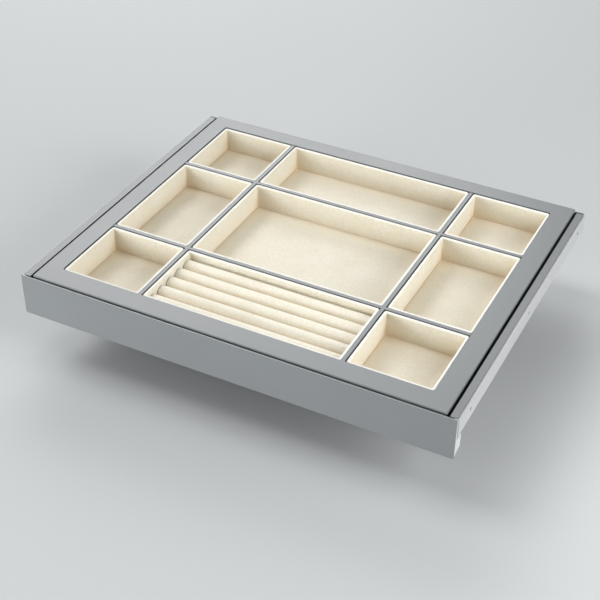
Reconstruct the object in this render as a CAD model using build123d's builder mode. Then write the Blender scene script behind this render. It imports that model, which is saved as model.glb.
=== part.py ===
"""Pull-out jewellery drawer for a wardrobe, on two ball-bearing slides.

X runs to the right, Y to the rear and Z up, in millimetres. The origin is under the middle of the
drawer, level with the lower edge of the front panel. Left and right are as seen from the front.
"""
from build123d import *
import os

os.makedirs("parts", exist_ok=True)

# ---- Overall sizes
WIDTH = 564.0  # clear width between the cabinet's sides
DEPTH = 456.0  # front face of the panel to the rear end of the slides
SIDES = {"left": -1, "right": 1}

# ---- Front panel, a hollow aluminium extrusion
PANEL_WALL = 1.3
BOX_DEPTH = 16.0  # hollow box behind the wall
PANEL_LIP = 3.0  # the wall reaches this far below the box
BOX_TAPER = 4.0  # the box's underside rises this much from front to rear
BOX_OVER_BASE = 6.5  # top of the box above the base board
BOX_UNDER_SLIDE = 1.0
BOX_WALL = 2.0
CAP_THICKNESS = 1.5
CAP_PLUG = 6.0  # how far the cap reaches into the hollow
CAP_STRIP_DEPTH = 2.7  # narrow part of the cap, behind the wall
CAP_STRIP_THICKNESS = 4.0
CAP_STRIP_DROP = 1.6  # top of that strip, below the panel's top edge
CAP_HOLE_RADIUS = 1.0
CAP_HOLE_DEPTH = 2.5
CAP_HOLE_DROP = 3.2
PANEL_EDGE_RADIUS = 0.5

# ---- Deck plate, the flat frame around the trays
DECK_THICKNESS = 2.5
DECK_PROUD = 1.0  # deck above the panel's top edge
DECK_SIDE_GAP = 3.6  # deck to the side rail's web
DECK_FRONT_GAP = 3.4  # panel wall to the deck's front edge
DECK_REAR_INSET = 1.0
DECK_EDGE_RADIUS = 1.2
DECK_CORNER_RADIUS = 2.0
DECK_BORDER_FRONT = 28.1  # deck's edge to the nearest tray
DECK_BORDER_REAR = 25.8
DECK_BORDER_SIDE = 26.2

# ---- Trays in three columns and three rows
SIDE_TRAY_WIDTH = 105.6
END_ROW_LENGTH = 107.0
TRAY_GAP = 6.6  # outer face to outer face of two trays
TRAY_CLEARANCE = 0.4  # a tray to the divider or deck on its front and right sides
TRAY_SLACK = 1.8  # the same on its rear and left sides
TRAY_BOTTOM_CLEARANCE = 0.2
TRAY_BELOW_DECK = 0.5
TRAY_CORNER_RADIUS = 3.0
SHELL_WALL = 2.0
SHELL_FLOOR = 3.0
LINING_WALL = 1.2
LINING_FLOOR = 1.8
LINING_RIM = 1.0
COLUMNS = ("left", "centre", "right")
ROWS = ("front", "middle", "rear")

# ---- Ring rolls in the front centre tray
ROLL_COUNT = 5
ROLL_GAP = 0.3
ROLL_HEAD_GAP = 6.3  # crest of a roll, below the rim
ROLL_LEFT_GAP = 0.8
ROLL_RIGHT_GAP = 0.8
RING_PAD_THICKNESS = 8.0
RING_FIT = 0.2

# ---- Drawer box
BOARD = 15.0  # box sides
BASE_THICKNESS = 6.0
BOX_SIDE_SETBACK = 2.4  # box inside the deck's edge
BOX_FRONT_REACH = 0.3  # front board behind the brackets' front legs
BOX_REAR_SETBACK = 4.0
BASE_SIDE_GAP = 0.4  # base board to the brackets
BOARD_FIT = 0.2

# ---- Side and rear rails, aluminium extrusions
RAIL_WALL = 1.5
FLANGE = 0.8  # thickness of the flange over the slide
RAIL_DROP = 1.0  # rail below the panel's top edge
SLIDE_SPACE = 10.0  # inner face of the rail's web to the cabinet's side
RAIL_SIDE_GAP = 1.2  # flange to the cabinet's side
LEDGE = 10.0
LEDGE_RISE = 4.0  # ledges above the underside of the panel's box
RAIL_FRONT_GAP = 3.0  # panel wall to the rail's front end
RAIL_REAR_INSET = 6.5
RAIL_CAP = 3.0
RAIL_CAP_GAP = 0.5  # the cap's tab to the deck
REAR_RAIL_DROP = 2.5  # rear rail below the deck
REAR_LEDGE = 20.0
FRAME_FIT = 0.3

# ---- Brackets and screws
BRACKET = 2.0
BRACKET_LENGTH = 34.0
BRACKET_HEIGHT = 32.0
SCREW_HEAD_RADIUS = 3.0
SCREW_HEAD_HEIGHT = 1.6
SCREW_RADIUS = 1.7
SCREW_FIT = 0.05

# ---- Slides: two members each, with a ball cage between them
SLIDE_SETBACK = 6.0  # slide's front end behind the panel's face
SLIDE_HEIGHT = 27.0
SLIDE_WALL = 1.2
SLIDE_TOP_GAP = 1.2  # slide to the flange above it
SLIDE_LIP = 2.0
SLIDE_BEND = 1.3
INNER_CAGE_GAP = 0.5
INNER_FRONT_INSET = 2.0
LIP_GAP = 0.9  # rail's web to the lips of the cabinet member
SLIDE_OVERLAP = 120.0  # what the two members still share when the drawer is fully out
BALL_RADIUS = 1.6
BALL_ROOM = 0.3  # ball to the members above and below it
BALL_FIT = 0.05
BALL_PITCH = 8.0
BALL_END = 7.0  # least space from a ball to the end of its cage
CAGE_WALL = 0.8
CAGE_ARM = 1.0
CAGE_WEB_GAP = 0.5
CAGE_LIP_GAP = 0.3
CAGE_FRONT_STOP = 5.0  # cage to the slide's front end, drawer fully out
CAGE_REAR_STOP = 3.7  # cage to the drawer member's rear end, drawer fully out
BUMPER_LENGTH = 7.0
BUMPER_HEIGHT = 13.0
BUMPER_GAP = 0.3
BUMPER_RADIUS = 1.5
FIXING_RADIUS = 2.2
FIXING_STEP = 32.0  # hole spacing in the cabinet's sides
FIXING_FIRST = 37.0  # first hole behind the slide's front end
FIXING_COUNT = 3
SLIDE_SCREW_COUNT = 4
SLIDE_SCREW_FRONT = 11.0  # first slide screw behind the front bracket
SLIDE_SCREW_REAR = 15.7  # last slide screw before the drawer member's rear end
LEVER_INSET = 70.7  # lever's pivot to the drawer member's rear end
LEVER_LENGTH = 38.0
LEVER_HEIGHT = 5.0
LEVER_THICKNESS = 2.2
LEVER_LIFT = 0.3  # lever off the web behind it
RIVET_RADIUS = 1.5
RIVET_FIT = 0.05

# ---- Heights worked out from the sizes above, from the bottom up
BOX_BOTTOM_REAR = PANEL_LIP + BOX_TAPER
LEDGE_BOTTOM = BOX_BOTTOM_REAR + LEDGE_RISE
BASE_BOTTOM = LEDGE_BOTTOM + RAIL_WALL
BASE_TOP = BASE_BOTTOM + BASE_THICKNESS
BOX_TOP = BASE_TOP + BOX_OVER_BASE
SLIDE_BOTTOM = BOX_TOP + BOX_UNDER_SLIDE
SLIDE_TOP = SLIDE_BOTTOM + SLIDE_HEIGHT
SLIDE_MIDDLE = (SLIDE_BOTTOM + SLIDE_TOP) / 2
RAIL_UNDER = SLIDE_TOP + SLIDE_TOP_GAP
RAIL_TOP = RAIL_UNDER + FLANGE
PANEL_HEIGHT = RAIL_TOP + RAIL_DROP
DECK_TOP = PANEL_HEIGHT + DECK_PROUD
DECK_BOTTOM = DECK_TOP - DECK_THICKNESS
RIM = DECK_TOP - TRAY_BELOW_DECK
REAR_RAIL_TOP = DECK_BOTTOM - REAR_RAIL_DROP
TRAY_BOTTOM = BASE_TOP + TRAY_BOTTOM_CLEARANCE
TRAY_FLOOR = TRAY_BOTTOM + SHELL_FLOOR + LINING_FLOOR
PANEL_SCREW_Z = (BASE_TOP + BOX_TOP) / 2
BRACKET_SCREW_Z = (BASE_TOP + SLIDE_BOTTOM) / 2

# ---- Depths, from front to rear
FRONT = -DEPTH / 2
REAR = DEPTH / 2
WALL_BACK = FRONT + PANEL_WALL
BOX_BACK = WALL_BACK + BOX_DEPTH
DECK_FRONT = WALL_BACK + DECK_FRONT_GAP
DECK_REAR = REAR - DECK_REAR_INSET
TRAYS_FRONT = DECK_FRONT + DECK_BORDER_FRONT
TRAYS_REAR = DECK_REAR - DECK_BORDER_REAR
MIDDLE_FRONT = TRAYS_FRONT + END_ROW_LENGTH + TRAY_GAP
REAR_ROW_FRONT = TRAYS_REAR - END_ROW_LENGTH
ROW_SPANS = {
    "front": (TRAYS_FRONT, TRAYS_FRONT + END_ROW_LENGTH),
    "middle": (MIDDLE_FRONT, REAR_ROW_FRONT - TRAY_GAP),
    "rear": (REAR_ROW_FRONT, TRAYS_REAR),
}
OPENING_FRONT = TRAYS_FRONT - TRAY_CLEARANCE
OPENING_REAR = TRAYS_REAR + TRAY_SLACK
BOX_FRONT_BACK = BOX_BACK + BRACKET + BOX_FRONT_REACH
BOX_FRONT_FACE = BOX_FRONT_BACK - BOARD
BOX_REAR_BACK = REAR - BOX_REAR_SETBACK
BOX_REAR_FACE = BOX_REAR_BACK - BOARD
BASE_FRONT = BOX_BACK + BRACKET + BOARD_FIT
RAIL_FRONT = WALL_BACK + RAIL_FRONT_GAP
RAIL_REAR = REAR - RAIL_REAR_INSET
SLIDE_FRONT = FRONT + SLIDE_SETBACK
SLIDE_LENGTH = REAR - SLIDE_FRONT
TRAVEL = SLIDE_LENGTH - SLIDE_OVERLAP
BUMPER_FRONT = REAR - BUMPER_LENGTH
INNER_FRONT = SLIDE_FRONT + INNER_FRONT_INSET
INNER_REAR = BUMPER_FRONT - BUMPER_GAP
CAGE_FRONT = SLIDE_FRONT + CAGE_FRONT_STOP + TRAVEL / 2
CAGE_LENGTH = INNER_REAR - TRAVEL - SLIDE_FRONT - CAGE_FRONT_STOP - CAGE_REAR_STOP
BALLS_PER_ROW = int((CAGE_LENGTH - 2 * BALL_END) / BALL_PITCH) + 1
FIXING_PITCH = FIXING_STEP * int((SLIDE_LENGTH / 2 - FIXING_STEP) / FIXING_STEP)
FIXING_MIDDLE = SLIDE_FRONT + FIXING_FIRST + FIXING_PITCH * (FIXING_COUNT - 1) / 2
LEVER_PIVOT_Y = INNER_REAR - LEVER_INSET
PLATE_SCREW_Y = RAIL_REAR - REAR_LEDGE / 2
first_screw = BOX_BACK + BRACKET_LENGTH + SLIDE_SCREW_FRONT
screw_step = (INNER_REAR - SLIDE_SCREW_REAR - first_screw) / (SLIDE_SCREW_COUNT - 1)
SLIDE_SCREW_PLACES = [first_screw + screw_step * number for number in range(SLIDE_SCREW_COUNT)]
BRACKET_SCREWS = [(BOX_BACK + BRACKET_LENGTH * share, BRACKET_SCREW_Z) for share in (1 / 3, 5 / 6)]

# ---- Widths, from the cabinet's side inwards
SLIDE_FACE = WIDTH / 2
FLANGE_END = SLIDE_FACE - RAIL_SIDE_GAP
RAIL_INNER = SLIDE_FACE - SLIDE_SPACE
RAIL_OUTER = RAIL_INNER + RAIL_WALL
LIP_FACE = RAIL_OUTER + LIP_GAP
CAGE_FACE = SLIDE_FACE - SLIDE_WALL - CAGE_WEB_GAP
CAGE_EDGE = LIP_FACE + SLIDE_WALL + CAGE_LIP_GAP
INNER_FACE = CAGE_FACE - CAGE_WALL - INNER_CAGE_GAP
INNER_HEIGHT = SLIDE_HEIGHT - 2 * SLIDE_WALL - 4 * (BALL_RADIUS + BALL_ROOM)
BALL_X = (CAGE_EDGE + CAGE_FACE - CAGE_WALL) / 2
BALL_LIFT = INNER_HEIGHT / 2 + BALL_RADIUS + BALL_ROOM  # ball's centre from the slide's middle
BRACKET_FACE = RAIL_INNER - BRACKET
PLATE_LENGTH = LEDGE + REAR_LEDGE
PLATE_SCREW_X = (RAIL_INNER - LEDGE / 2, RAIL_INNER - LEDGE - REAR_LEDGE / 2)
PANEL_SCREW_X = RAIL_INNER - BRACKET_LENGTH + LEDGE / 2
BASE_HALF_WIDTH = BRACKET_FACE - BASE_SIDE_GAP
DECK_HALF_WIDTH = RAIL_INNER - DECK_SIDE_GAP
BOX_HALF_WIDTH = DECK_HALF_WIDTH - BOX_SIDE_SETBACK
TRAYS_SIDE = DECK_HALF_WIDTH - DECK_BORDER_SIDE
CENTRE_HALF_WIDTH = TRAYS_SIDE - SIDE_TRAY_WIDTH - TRAY_GAP
COLUMN_SPANS = {
    "left": (-TRAYS_SIDE, -TRAYS_SIDE + SIDE_TRAY_WIDTH),
    "centre": (-CENTRE_HALF_WIDTH, CENTRE_HALF_WIDTH),
    "right": (TRAYS_SIDE - SIDE_TRAY_WIDTH, TRAYS_SIDE),
}
OPENING_LEFT = -TRAYS_SIDE - TRAY_SLACK
OPENING_RIGHT = TRAYS_SIDE + TRAY_CLEARANCE


def across(y):
    """A plane that faces the front, at depth y: its own axes are X and Z."""
    return Plane.XZ.offset(-y)


def along(x):
    """A plane that faces right, at x: its own axes are Y and Z."""
    return Plane.YZ.offset(x)


def save(builder, name):
    """Labels a finished piece and writes it under its own name."""
    builder.part.label = name
    export_step(builder.part, f"parts/{name}.step")


def block(x_span, y_span, z_span, mode=Mode.ADD):
    """A box between the given faces, in whichever part is being built."""
    x_low, x_high = sorted(x_span)
    with Locations(((x_low + x_high) / 2, sum(y_span) / 2, sum(z_span) / 2)):
        Box(x_high - x_low, y_span[1] - y_span[0], z_span[1] - z_span[0], mode=mode)


def outline(points, side=1, mode=Mode.ADD):
    """A closed face through the given points, turned over for the left side."""
    Polygon(*[(side * a, b) for a, b in points], align=None, mode=mode)


# ---- Front panel ---------------------------------------------------------------------------

def box_hollow(fit=0.0):
    """Corner points, in Y and Z, of the hollow in the panel's box, shrunk by a fit."""
    slope = (BOX_BOTTOM_REAR - PANEL_LIP) / BOX_DEPTH
    low = PANEL_LIP + BOX_WALL + fit
    back = BOX_BACK - BOX_WALL - fit
    return [
        (WALL_BACK + fit, low + slope * fit),
        (back, low + slope * (back - WALL_BACK)),
        (back, BOX_TOP - BOX_WALL - fit),
        (WALL_BACK + fit, BOX_TOP - BOX_WALL - fit),
    ]


def box_outside():
    """Corner points, in Y and Z, of the outside of the panel's box."""
    return [
        (WALL_BACK, PANEL_LIP),
        (BOX_BACK, BOX_BOTTOM_REAR),
        (BOX_BACK, BOX_TOP),
        (WALL_BACK, BOX_TOP),
    ]


cap_face = WIDTH / 2 - CAP_THICKNESS
ledge_half = RAIL_INNER - LEDGE - FRAME_FIT
with BuildPart() as front_panel:
    block((-WIDTH / 2, WIDTH / 2), (FRONT, WALL_BACK), (0, PANEL_HEIGHT))
    fillet(front_panel.edges().filter_by(Axis.X).group_by(Axis.Y)[0], PANEL_EDGE_RADIUS)
    with BuildSketch(along(-cap_face)):
        outline(box_outside())
        outline(box_hollow(), mode=Mode.SUBTRACT)
    extrude(amount=2 * cap_face)
    block((-ledge_half, ledge_half), (BOX_BACK, BOX_BACK + LEDGE), (LEDGE_BOTTOM, BASE_BOTTOM))
    with BuildSketch(across(BOX_BACK)):
        with Locations(*[(side * PANEL_SCREW_X, PANEL_SCREW_Z) for side in SIDES.values()]):
            Circle(SCREW_RADIUS + SCREW_FIT)
    extrude(amount=BOX_WALL, mode=Mode.SUBTRACT)
save(front_panel, "front_panel")


def panel_end_cap(name, side):
    """The moulded cap that closes one end of the panel's box and covers the strip behind its wall."""
    end = side * WIDTH / 2
    with BuildPart() as cap:
        with BuildSketch(along(side * cap_face)):
            outline(box_outside())
        extrude(amount=side * CAP_THICKNESS)
        with BuildSketch(along(side * cap_face)):
            outline(box_hollow(BOARD_FIT))
        extrude(amount=-side * CAP_PLUG)
        block(
            (end, end - side * CAP_STRIP_THICKNESS),
            (WALL_BACK, WALL_BACK + CAP_STRIP_DEPTH),
            (BOX_TOP, PANEL_HEIGHT - CAP_STRIP_DROP),
        )
        with BuildSketch(along(end)):
            with Locations((WALL_BACK + CAP_STRIP_DEPTH / 2, PANEL_HEIGHT - CAP_HOLE_DROP)):
                Circle(CAP_HOLE_RADIUS)
        extrude(amount=-side * CAP_HOLE_DEPTH, mode=Mode.SUBTRACT)
    save(cap, name)


for name, side in SIDES.items():
    panel_end_cap(f"panel_end_cap_{name}", side)


# ---- Side rails, rear rail and their caps --------------------------------------------------

def side_rail(name, side):
    """A Z-shaped extrusion: a ledge for the base, an upright web and a flange over the slide."""
    with BuildPart() as rail:
        with BuildSketch(across(RAIL_REAR)):
            outline([
                (RAIL_INNER - LEDGE, LEDGE_BOTTOM),
                (RAIL_OUTER, LEDGE_BOTTOM),
                (RAIL_OUTER, RAIL_UNDER),
                (FLANGE_END, RAIL_UNDER),
                (FLANGE_END, RAIL_TOP),
                (RAIL_INNER, RAIL_TOP),
                (RAIL_INNER, BASE_BOTTOM),
                (RAIL_INNER - LEDGE, BASE_BOTTOM),
            ], side)
        extrude(amount=RAIL_REAR - RAIL_FRONT)
        block(
            (side * (RAIL_INNER - 2 * LEDGE), side * (RAIL_OUTER + LEDGE)),
            (RAIL_FRONT - FRAME_FIT, BOX_BACK + FRAME_FIT),
            (0, BOX_TOP + FRAME_FIT),
            mode=Mode.SUBTRACT,
        )
        with BuildSketch(along(side * RAIL_OUTER)):
            with Locations(*[(y, SLIDE_MIDDLE) for y in SLIDE_SCREW_PLACES]):
                Circle(SCREW_RADIUS + SCREW_FIT)
            with Locations(*BRACKET_SCREWS):
                Circle(SCREW_RADIUS + SCREW_FIT)
        extrude(amount=-side * RAIL_WALL, mode=Mode.SUBTRACT)
        with BuildSketch(Plane.XY.offset(LEDGE_BOTTOM)):
            with Locations((side * PLATE_SCREW_X[0], PLATE_SCREW_Y)):
                Circle(SCREW_RADIUS + SCREW_FIT)
        extrude(amount=RAIL_WALL, mode=Mode.SUBTRACT)
    save(rail, name)


for name, side in SIDES.items():
    side_rail(f"side_rail_{name}", side)


def rail_cap(name, side):
    """The black cap on the rear end of a side rail, with a tab that closes the gap beside the deck."""
    tab = (DECK_HALF_WIDTH + RAIL_CAP_GAP, REAR_RAIL_TOP + BOARD_FIT)
    with BuildPart() as cap:
        with BuildSketch(across(RAIL_REAR + RAIL_CAP)):
            outline([
                (RAIL_INNER, LEDGE_BOTTOM),
                (RAIL_OUTER, LEDGE_BOTTOM),
                (RAIL_OUTER, RAIL_UNDER),
                (FLANGE_END, RAIL_UNDER),
                (FLANGE_END, RAIL_TOP),
                (tab[0], RAIL_TOP),
                tab,
                (RAIL_INNER, tab[1]),
            ], side)
        extrude(amount=RAIL_CAP)
    save(cap, name)


for name, side in SIDES.items():
    rail_cap(f"rail_cap_{name}", side)

rear_rail_back = BOX_REAR_BACK + BOARD_FIT + RAIL_WALL
with BuildPart() as rear_rail:
    block(
        (-ledge_half, ledge_half),
        (RAIL_REAR - REAR_LEDGE, rear_rail_back),
        (LEDGE_BOTTOM, BASE_BOTTOM),
    )
    block(
        (-BASE_HALF_WIDTH, BASE_HALF_WIDTH),
        (rear_rail_back - RAIL_WALL, rear_rail_back),
        (LEDGE_BOTTOM, REAR_RAIL_TOP),
    )
    with BuildSketch(Plane.XY.offset(LEDGE_BOTTOM)):
        with Locations(*[(side * PLATE_SCREW_X[1], PLATE_SCREW_Y) for side in SIDES.values()]):
            Circle(SCREW_RADIUS + SCREW_FIT)
    extrude(amount=RAIL_WALL, mode=Mode.SUBTRACT)
save(rear_rail, "rear_rail")


# ---- Brackets and screws -------------------------------------------------------------------

def front_bracket(name, side):
    """An angle that joins a side rail to the back of the panel's box."""
    low = BASE_BOTTOM + BOARD_FIT
    with BuildPart() as bracket:
        block(
            (side * BRACKET_FACE, side * RAIL_INNER),
            (BOX_BACK, BOX_BACK + BRACKET_LENGTH),
            (low, low + BRACKET_HEIGHT),
        )
        block(
            (side * (RAIL_INNER - BRACKET_LENGTH), side * RAIL_INNER),
            (BOX_BACK, BOX_BACK + BRACKET),
            (low, BOX_TOP),
        )
        with BuildSketch(along(side * RAIL_INNER)):
            with Locations(*BRACKET_SCREWS):
                Circle(SCREW_RADIUS + SCREW_FIT)
        extrude(amount=-side * BRACKET, mode=Mode.SUBTRACT)
        with BuildSketch(across(BOX_BACK + BRACKET)):
            with Locations((side * PANEL_SCREW_X, PANEL_SCREW_Z)):
                Circle(SCREW_RADIUS + SCREW_FIT)
        extrude(amount=BRACKET, mode=Mode.SUBTRACT)
    save(bracket, name)


def rear_corner_plate(name, side):
    """A flat plate under the ledges that joins a side rail to the rear rail."""
    with BuildPart() as plate:
        block(
            (side * (RAIL_INNER - PLATE_LENGTH), side * RAIL_INNER),
            (RAIL_REAR - REAR_LEDGE, RAIL_REAR),
            (LEDGE_BOTTOM - BRACKET, LEDGE_BOTTOM),
        )
        with BuildSketch(Plane.XY.offset(LEDGE_BOTTOM)):
            with Locations(*[(side * x, PLATE_SCREW_Y) for x in PLATE_SCREW_X]):
                Circle(SCREW_RADIUS + SCREW_FIT)
        extrude(amount=-BRACKET, mode=Mode.SUBTRACT)
    save(plate, name)


for name, side in SIDES.items():
    front_bracket(f"front_bracket_{name}", side)
    rear_corner_plate(f"rear_corner_plate_{name}", side)


def screw_at(origin, direction, grip):
    """A pan-head screw whose head sits on origin and whose shank runs along direction."""
    with Locations(Plane(origin=origin, z_dir=direction)):
        Cylinder(SCREW_RADIUS, grip, align=(Align.CENTER, Align.CENTER, Align.MIN))
        Cylinder(SCREW_HEAD_RADIUS, SCREW_HEAD_HEIGHT, align=(Align.CENTER, Align.CENTER, Align.MAX))


with BuildPart() as screws:
    for side in SIDES.values():
        for y in SLIDE_SCREW_PLACES:
            screw_at(
                (side * (RAIL_OUTER + SLIDE_WALL), y, SLIDE_MIDDLE),
                (-side, 0, 0),
                SLIDE_WALL + 2 * RAIL_WALL,
            )
        for y, z in BRACKET_SCREWS:
            screw_at((side * BRACKET_FACE, y, z), (side, 0, 0), BRACKET + RAIL_WALL)
        screw_at(
            (side * PANEL_SCREW_X, BOX_BACK + BRACKET, PANEL_SCREW_Z),
            (0, -1, 0),
            BRACKET + BOX_WALL,
        )
        for x in PLATE_SCREW_X:
            screw_at(
                (side * x, PLATE_SCREW_Y, LEDGE_BOTTOM - BRACKET),
                (0, 0, 1),
                BRACKET + RAIL_WALL,
            )
save(screws, "screws")


# ---- Drawer box ----------------------------------------------------------------------------

with BuildPart() as base_board:
    block((-BASE_HALF_WIDTH, BASE_HALF_WIDTH), (BASE_FRONT, BOX_REAR_BACK), (BASE_BOTTOM, BASE_TOP))
save(base_board, "base_board")

with BuildPart() as box_front:
    block(
        (-BOX_HALF_WIDTH, BOX_HALF_WIDTH),
        (BOX_FRONT_FACE, BOX_FRONT_BACK),
        (BOX_TOP + BOARD_FIT, DECK_BOTTOM),
    )
save(box_front, "box_front")

with BuildPart() as box_rear:
    block((-BOX_HALF_WIDTH, BOX_HALF_WIDTH), (BOX_REAR_FACE, BOX_REAR_BACK), (BASE_TOP, DECK_BOTTOM))
save(box_rear, "box_rear")


def box_side(name, side):
    """One side board of the drawer box, between the front and rear boards."""
    start = BASE_FRONT + BRACKET
    with BuildPart() as board:
        block(
            (side * (BOX_HALF_WIDTH - BOARD), side * BOX_HALF_WIDTH),
            (start, BOX_REAR_FACE),
            (BASE_TOP, DECK_BOTTOM),
        )
        block(
            (side * (BOX_HALF_WIDTH - BOARD), side * BOX_HALF_WIDTH),
            (BOX_FRONT_BACK, start),
            (BOX_TOP + BOARD_FIT, DECK_BOTTOM),
        )
    save(board, name)


for name, side in SIDES.items():
    box_side(f"box_side_{name}", side)


# ---- Deck plate ----------------------------------------------------------------------------

with BuildPart() as deck_plate:
    with BuildSketch(Plane.XY.offset(DECK_BOTTOM)):
        with Locations((0, (DECK_FRONT + DECK_REAR) / 2)):
            RectangleRounded(2 * DECK_HALF_WIDTH, DECK_REAR - DECK_FRONT, DECK_CORNER_RADIUS)
    extrude(amount=DECK_THICKNESS)
    fillet(deck_plate.faces().sort_by(Axis.Z)[-1].edges(), DECK_EDGE_RADIUS)
    with BuildSketch(Plane.XY.offset(DECK_BOTTOM)):
        with Locations(((OPENING_LEFT + OPENING_RIGHT) / 2, (OPENING_FRONT + OPENING_REAR) / 2)):
            RectangleRounded(
                OPENING_RIGHT - OPENING_LEFT,
                OPENING_REAR - OPENING_FRONT,
                TRAY_CORNER_RADIUS,
            )
    extrude(amount=DECK_THICKNESS, mode=Mode.SUBTRACT)
save(deck_plate, "deck_plate")


# ---- Dividers, halved into each other where they cross -------------------------------------

DIVIDER = TRAY_GAP - TRAY_CLEARANCE - TRAY_SLACK
divider_top = RIM - TRAY_BOTTOM_CLEARANCE
half_height = (BASE_TOP + divider_top) / 2
offset = (TRAY_SLACK - TRAY_CLEARANCE) / 2
long_places = {
    name: side * (CENTRE_HALF_WIDTH + TRAY_GAP / 2) - offset for name, side in SIDES.items()
}
cross_places = {
    "front": MIDDLE_FRONT - TRAY_GAP / 2 + offset,
    "rear": REAR_ROW_FRONT - TRAY_GAP / 2 + offset,
}
long_ends = (BOX_FRONT_BACK + BOARD_FIT, BOX_REAR_FACE - BOARD_FIT)
cross_end = BOX_HALF_WIDTH - BOARD - BOARD_FIT
notch = DIVIDER + BOARD_FIT


def long_divider(name, x):
    """A divider from front to rear, notched from above for the two cross dividers."""
    faces = (x - DIVIDER / 2, x + DIVIDER / 2)
    with BuildPart() as divider:
        block(faces, long_ends, (BASE_TOP, DECK_BOTTOM))
        block(faces, (OPENING_FRONT + BOARD_FIT, OPENING_REAR - BOARD_FIT), (DECK_BOTTOM, divider_top))
        for y in cross_places.values():
            block(faces, (y - notch / 2, y + notch / 2), (half_height, divider_top), mode=Mode.SUBTRACT)
    save(divider, name)


def cross_divider(name, y):
    """A divider from side to side, notched from below for the two long dividers."""
    faces = (y - DIVIDER / 2, y + DIVIDER / 2)
    opening = (OPENING_LEFT + BOARD_FIT, OPENING_RIGHT - BOARD_FIT)
    with BuildPart() as divider:
        block((-cross_end, cross_end), faces, (BASE_TOP, DECK_BOTTOM))
        block(opening, faces, (DECK_BOTTOM, divider_top))
        for x in long_places.values():
            block((x - notch / 2, x + notch / 2), faces, (BASE_TOP, half_height), mode=Mode.SUBTRACT)
    save(divider, name)


for name, x in long_places.items():
    long_divider(f"long_divider_{name}", x)
for name, y in cross_places.items():
    cross_divider(f"cross_divider_{name}", y)


# ---- Trays ---------------------------------------------------------------------------------

def rounded(x_span, y_span, inset, radius):
    """A rounded rectangle over two spans, drawn in from them all round."""
    with Locations((sum(x_span) / 2, sum(y_span) / 2)):
        RectangleRounded(
            x_span[1] - x_span[0] - 2 * inset,
            y_span[1] - y_span[0] - 2 * inset,
            radius,
        )


def tray_shell(name, x_span, y_span):
    """The stiff open box of one tray."""
    with BuildPart() as shell:
        with BuildSketch(Plane.XY.offset(TRAY_BOTTOM)):
            rounded(x_span, y_span, 0, TRAY_CORNER_RADIUS)
        extrude(amount=RIM - LINING_RIM - TRAY_BOTTOM)
        with BuildSketch(Plane.XY.offset(TRAY_BOTTOM + SHELL_FLOOR)):
            rounded(x_span, y_span, SHELL_WALL, TRAY_CORNER_RADIUS - SHELL_WALL / 2)
        extrude(amount=RIM - TRAY_BOTTOM, mode=Mode.SUBTRACT)
    save(shell, name)


def tray_lining(name, x_span, y_span):
    """The fabric lining of one tray, which covers the floor, the walls and the shell's top edge."""
    inset = SHELL_WALL + LINING_WALL
    with BuildPart() as lining:
        with BuildSketch(Plane.XY.offset(TRAY_BOTTOM + SHELL_FLOOR)):
            rounded(x_span, y_span, SHELL_WALL, TRAY_CORNER_RADIUS - SHELL_WALL / 2)
        extrude(amount=RIM - TRAY_BOTTOM - SHELL_FLOOR)
        with BuildSketch(Plane.XY.offset(RIM - LINING_RIM)):
            rounded(x_span, y_span, 0, TRAY_CORNER_RADIUS)
        extrude(amount=LINING_RIM)
        with BuildSketch(Plane.XY.offset(TRAY_FLOOR)):
            rounded(x_span, y_span, inset, TRAY_CORNER_RADIUS / 2)
        extrude(amount=RIM - TRAY_FLOOR, mode=Mode.SUBTRACT)
    save(lining, name)


for row in ROWS:
    for column in COLUMNS:
        place = "ring" if (row, column) == ("front", "centre") else f"{row}_{column}"
        tray_shell(f"tray_shell_{place}", COLUMN_SPANS[column], ROW_SPANS[row])
        tray_lining(f"tray_lining_{place}", COLUMN_SPANS[column], ROW_SPANS[row])


# ---- Ring rolls and the pad under them -----------------------------------------------------

ring_inset = SHELL_WALL + LINING_WALL + RING_FIT
ring_x = (COLUMN_SPANS["centre"][0] + ring_inset, COLUMN_SPANS["centre"][1] - ring_inset)
ring_y = (ROW_SPANS["front"][0] + ring_inset, ROW_SPANS["front"][1] - ring_inset)
pad_top = TRAY_FLOOR + RING_PAD_THICKNESS
roll_pitch = (ring_y[1] - ring_y[0]) / ROLL_COUNT
roll_radius = (roll_pitch - ROLL_GAP) / 2
roll_axis = RIM - ROLL_HEAD_GAP - roll_radius

with BuildPart() as ring_pad:
    with BuildSketch(Plane.XY.offset(TRAY_FLOOR)):
        rounded(COLUMN_SPANS["centre"], ROW_SPANS["front"], ring_inset, TRAY_CORNER_RADIUS / 2)
    extrude(amount=RING_PAD_THICKNESS)
save(ring_pad, "ring_pad")


def ring_roll(name, y):
    """One padded roll: a half round above straight sides, flat underneath."""
    with BuildPart() as roll:
        with BuildSketch(along(ring_x[0] + ROLL_LEFT_GAP)):
            with BuildLine():
                Polyline(
                    (y - roll_radius, roll_axis),
                    (y - roll_radius, pad_top),
                    (y + roll_radius, pad_top),
                    (y + roll_radius, roll_axis),
                )
                ThreePointArc(
                    (y + roll_radius, roll_axis),
                    (y, roll_axis + roll_radius),
                    (y - roll_radius, roll_axis),
                )
            make_face()
        extrude(amount=ring_x[1] - ring_x[0] - ROLL_LEFT_GAP - ROLL_RIGHT_GAP)
    save(roll, name)


for number in range(1, ROLL_COUNT + 1):
    ring_roll(f"ring_roll_{number}", ring_y[0] + roll_pitch * (number - 0.5))


# ---- Slides --------------------------------------------------------------------------------

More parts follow.
